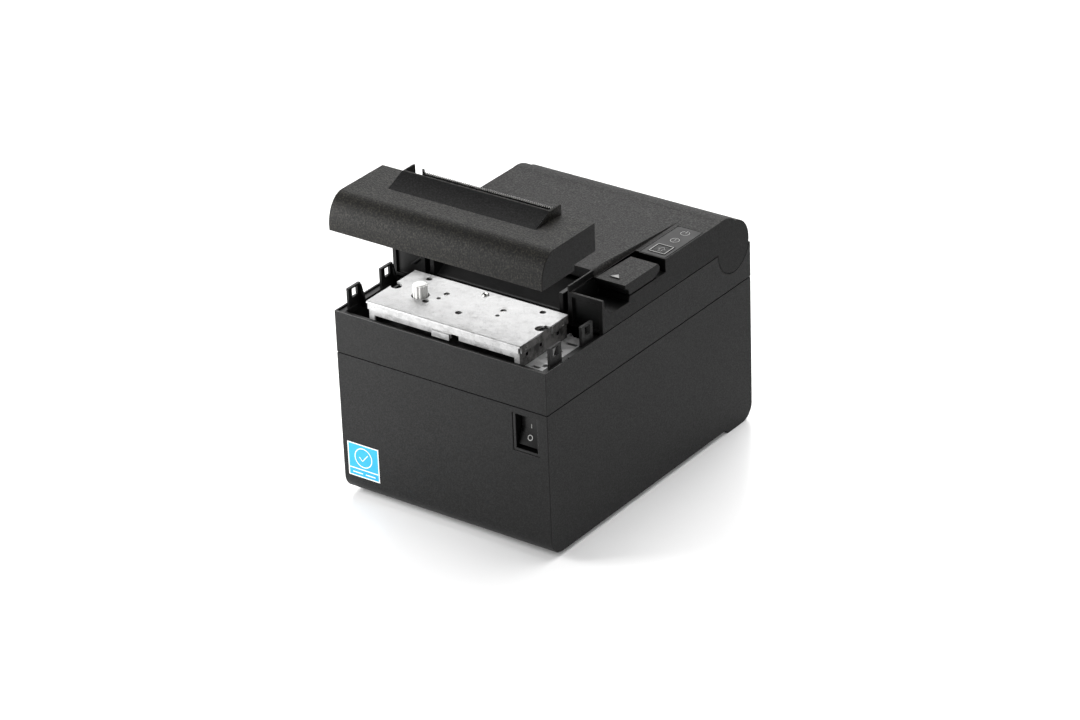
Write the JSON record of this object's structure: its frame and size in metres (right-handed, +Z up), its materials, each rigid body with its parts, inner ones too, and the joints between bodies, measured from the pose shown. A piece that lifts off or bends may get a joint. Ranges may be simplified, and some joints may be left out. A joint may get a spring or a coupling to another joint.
{
  "type": "receipt printer",
  "caption": "Desktop roll receipt printer with a hinged roll cover, a lever that opens it, and a lift-off cover over its paper cutter.",
  "frame": {"origin": "on the surface it stands on, under the middle of the casing", "axes": "+Z up, +Y from the front face to the back, +X to the right of someone facing the front"},
  "size_m": [0.145, 0.202, 0.194],
  "materials": {
    "case_plastic": "fine-grained moulded ABS, near black",
    "cover_plastic": "sparkle-textured ABS, dark brownish grey",
    "panel_plastic": "smooth overlay, dark grey",
    "black_plastic": "plain black moulding",
    "light_plastic": "translucent white light pipes",
    "white_gear_plastic": "acetal, satin",
    "label": "printed film, light blue with a white border",
    "rubber": "matt",
    "platen_rubber": "ground, matt",
    "galvanised_sheet": "galvanised, faint spangle",
    "steel": "ground",
    "motor_case": "zinc plated",
    "aluminium": "extruded, plain",
    "ceramic_head": "glazed ceramic print head",
    "circuit_board": "solder mask, green",
    "plated_connector": "nickel plated",
    "flat_cable": "flexible flat cable"
  },
  "bodies": {
    "casing": {"lower_case": "case_plastic", "floor_tray": "case_plastic", "rear_panel": "case_plastic", "base_plate": "black_plastic", "case_screws": "steel", "rubber_feet": "rubber", "power_switch": "black_plastic", "label_plate": "label", "upper_case": "case_plastic", "hinge_pins": "steel", "mechanism_frame": "galvanised_sheet", "print_head": "ceramic_head", "head_heatsink": "aluminium", "head_springs": "steel", "head_cable": "flat_cable", "feed_motor": "motor_case", "cutter_frame": "galvanised_sheet", "cutter_top_plate": "galvanised_sheet", "cutter_screw": "steel", "cutter_motor": "motor_case", "paper_bucket": "black_plastic", "paper_sensor": "black_plastic", "mainboard": "circuit_board", "power_supply": "aluminium", "power_inlet": "black_plastic", "usb_port": "plated_connector", "network_port": "plated_connector", "drawer_port": "black_plastic"},
    "rocker": {"power_rocker": "black_plastic"},
    "pinion": {"motor_pinion": "white_gear_plastic"},
    "idler": {"idler_gear": "white_gear_plastic"},
    "knob": {"cutter_knob": "white_gear_plastic"},
    "crank": {"crank_gear": "white_gear_plastic", "crank_pin": "steel"},
    "blade": {"moving_blade": "steel"},
    "roll_cover": {"roll_cover": "cover_plastic", "fixed_blade": "steel", "platen_bushes": "white_gear_plastic", "control_panel": "panel_plastic", "status_lights": "light_plastic", "panel_board": "circuit_board", "lever_pin": "steel", "lever_spring": "steel"},
    "platen": {"platen_shaft": "steel", "platen_roller": "platen_rubber", "platen_gear": "white_gear_plastic"},
    "button": {"feed_button": "panel_plastic"},
    "lever": {"cover_lever": "cover_plastic"},
    "cutter_cover": {"cutter_cover": "cover_plastic", "tear_bar": "steel"}
  },
  "joints": [
    {"name": "power_rocker_tilt", "type": "hinge", "parent": "casing", "child": "rocker", "pos_m": [0.0578, -0.093, 0.0767], "axis": [1, 0, 0], "range_deg": [0, 20]},
    {"name": "roll_cover_hinge", "type": "hinge", "parent": "casing", "child": "roll_cover", "pos_m": [0, 0.0838, 0.1176], "axis": [-1, 0, 0], "range_deg": [0, 92]},
    {"name": "platen_spin", "type": "hinge", "parent": "roll_cover", "child": "platen", "pos_m": [0, -0.0415, 0.104], "axis": [1, 0, 0], "continuous": true},
    {"name": "idler_spin", "type": "hinge", "parent": "casing", "child": "idler", "pos_m": [-0.055, -0.05297, 0.08762], "axis": [1, 0, 0], "continuous": true},
    {"name": "feed_motor_spin", "type": "hinge", "parent": "casing", "child": "pinion", "pos_m": [-0.055, -0.05872, 0.07183], "axis": [1, 0, 0], "continuous": true},
    {"name": "crank_spin", "type": "hinge", "parent": "casing", "child": "crank", "pos_m": [-0.0161, -0.0752, 0.1165], "axis": [0, 0, 1], "continuous": true},
    {"name": "cutter_knob_spin", "type": "hinge", "parent": "casing", "child": "knob", "pos_m": [-0.0311, -0.0752, 0.1165], "axis": [0, 0, 1], "continuous": true},
    {"name": "moving_blade_slide", "type": "slide", "parent": "casing", "child": "blade", "axis": [0, 1, 0], "range_m": [0, 0.005]},
    {"name": "cover_lever_pivot", "type": "hinge", "parent": "roll_cover", "child": "lever", "pos_m": [0.062, 0.0025, 0.1333], "axis": [-1, 0, 0], "range_deg": [0, 20], "stiffness_Nm_per_rad": 0.05, "springref_deg": -11.46},
    {"name": "feed_button_press", "type": "slide", "parent": "roll_cover", "child": "button", "axis": [0, 0, -1], "range_m": [0, 0.0008], "stiffness_N_per_m": 400, "springref_m": -0.0004},
    {"name": "cutter_cover_lift", "type": "slide", "parent": "casing", "child": "cutter_cover", "axis": [0, 0, 1], "range_m": [-0.0494, 0.03]}
  ],
  "couplings": [
    {"joint": "idler_spin", "follows": "platen_spin", "ratio": -0.66667},
    {"joint": "feed_motor_spin", "follows": "platen_spin", "ratio": 1.6667},
    {"joint": "cutter_knob_spin", "follows": "crank_spin", "ratio": -2.5714}
  ]
}
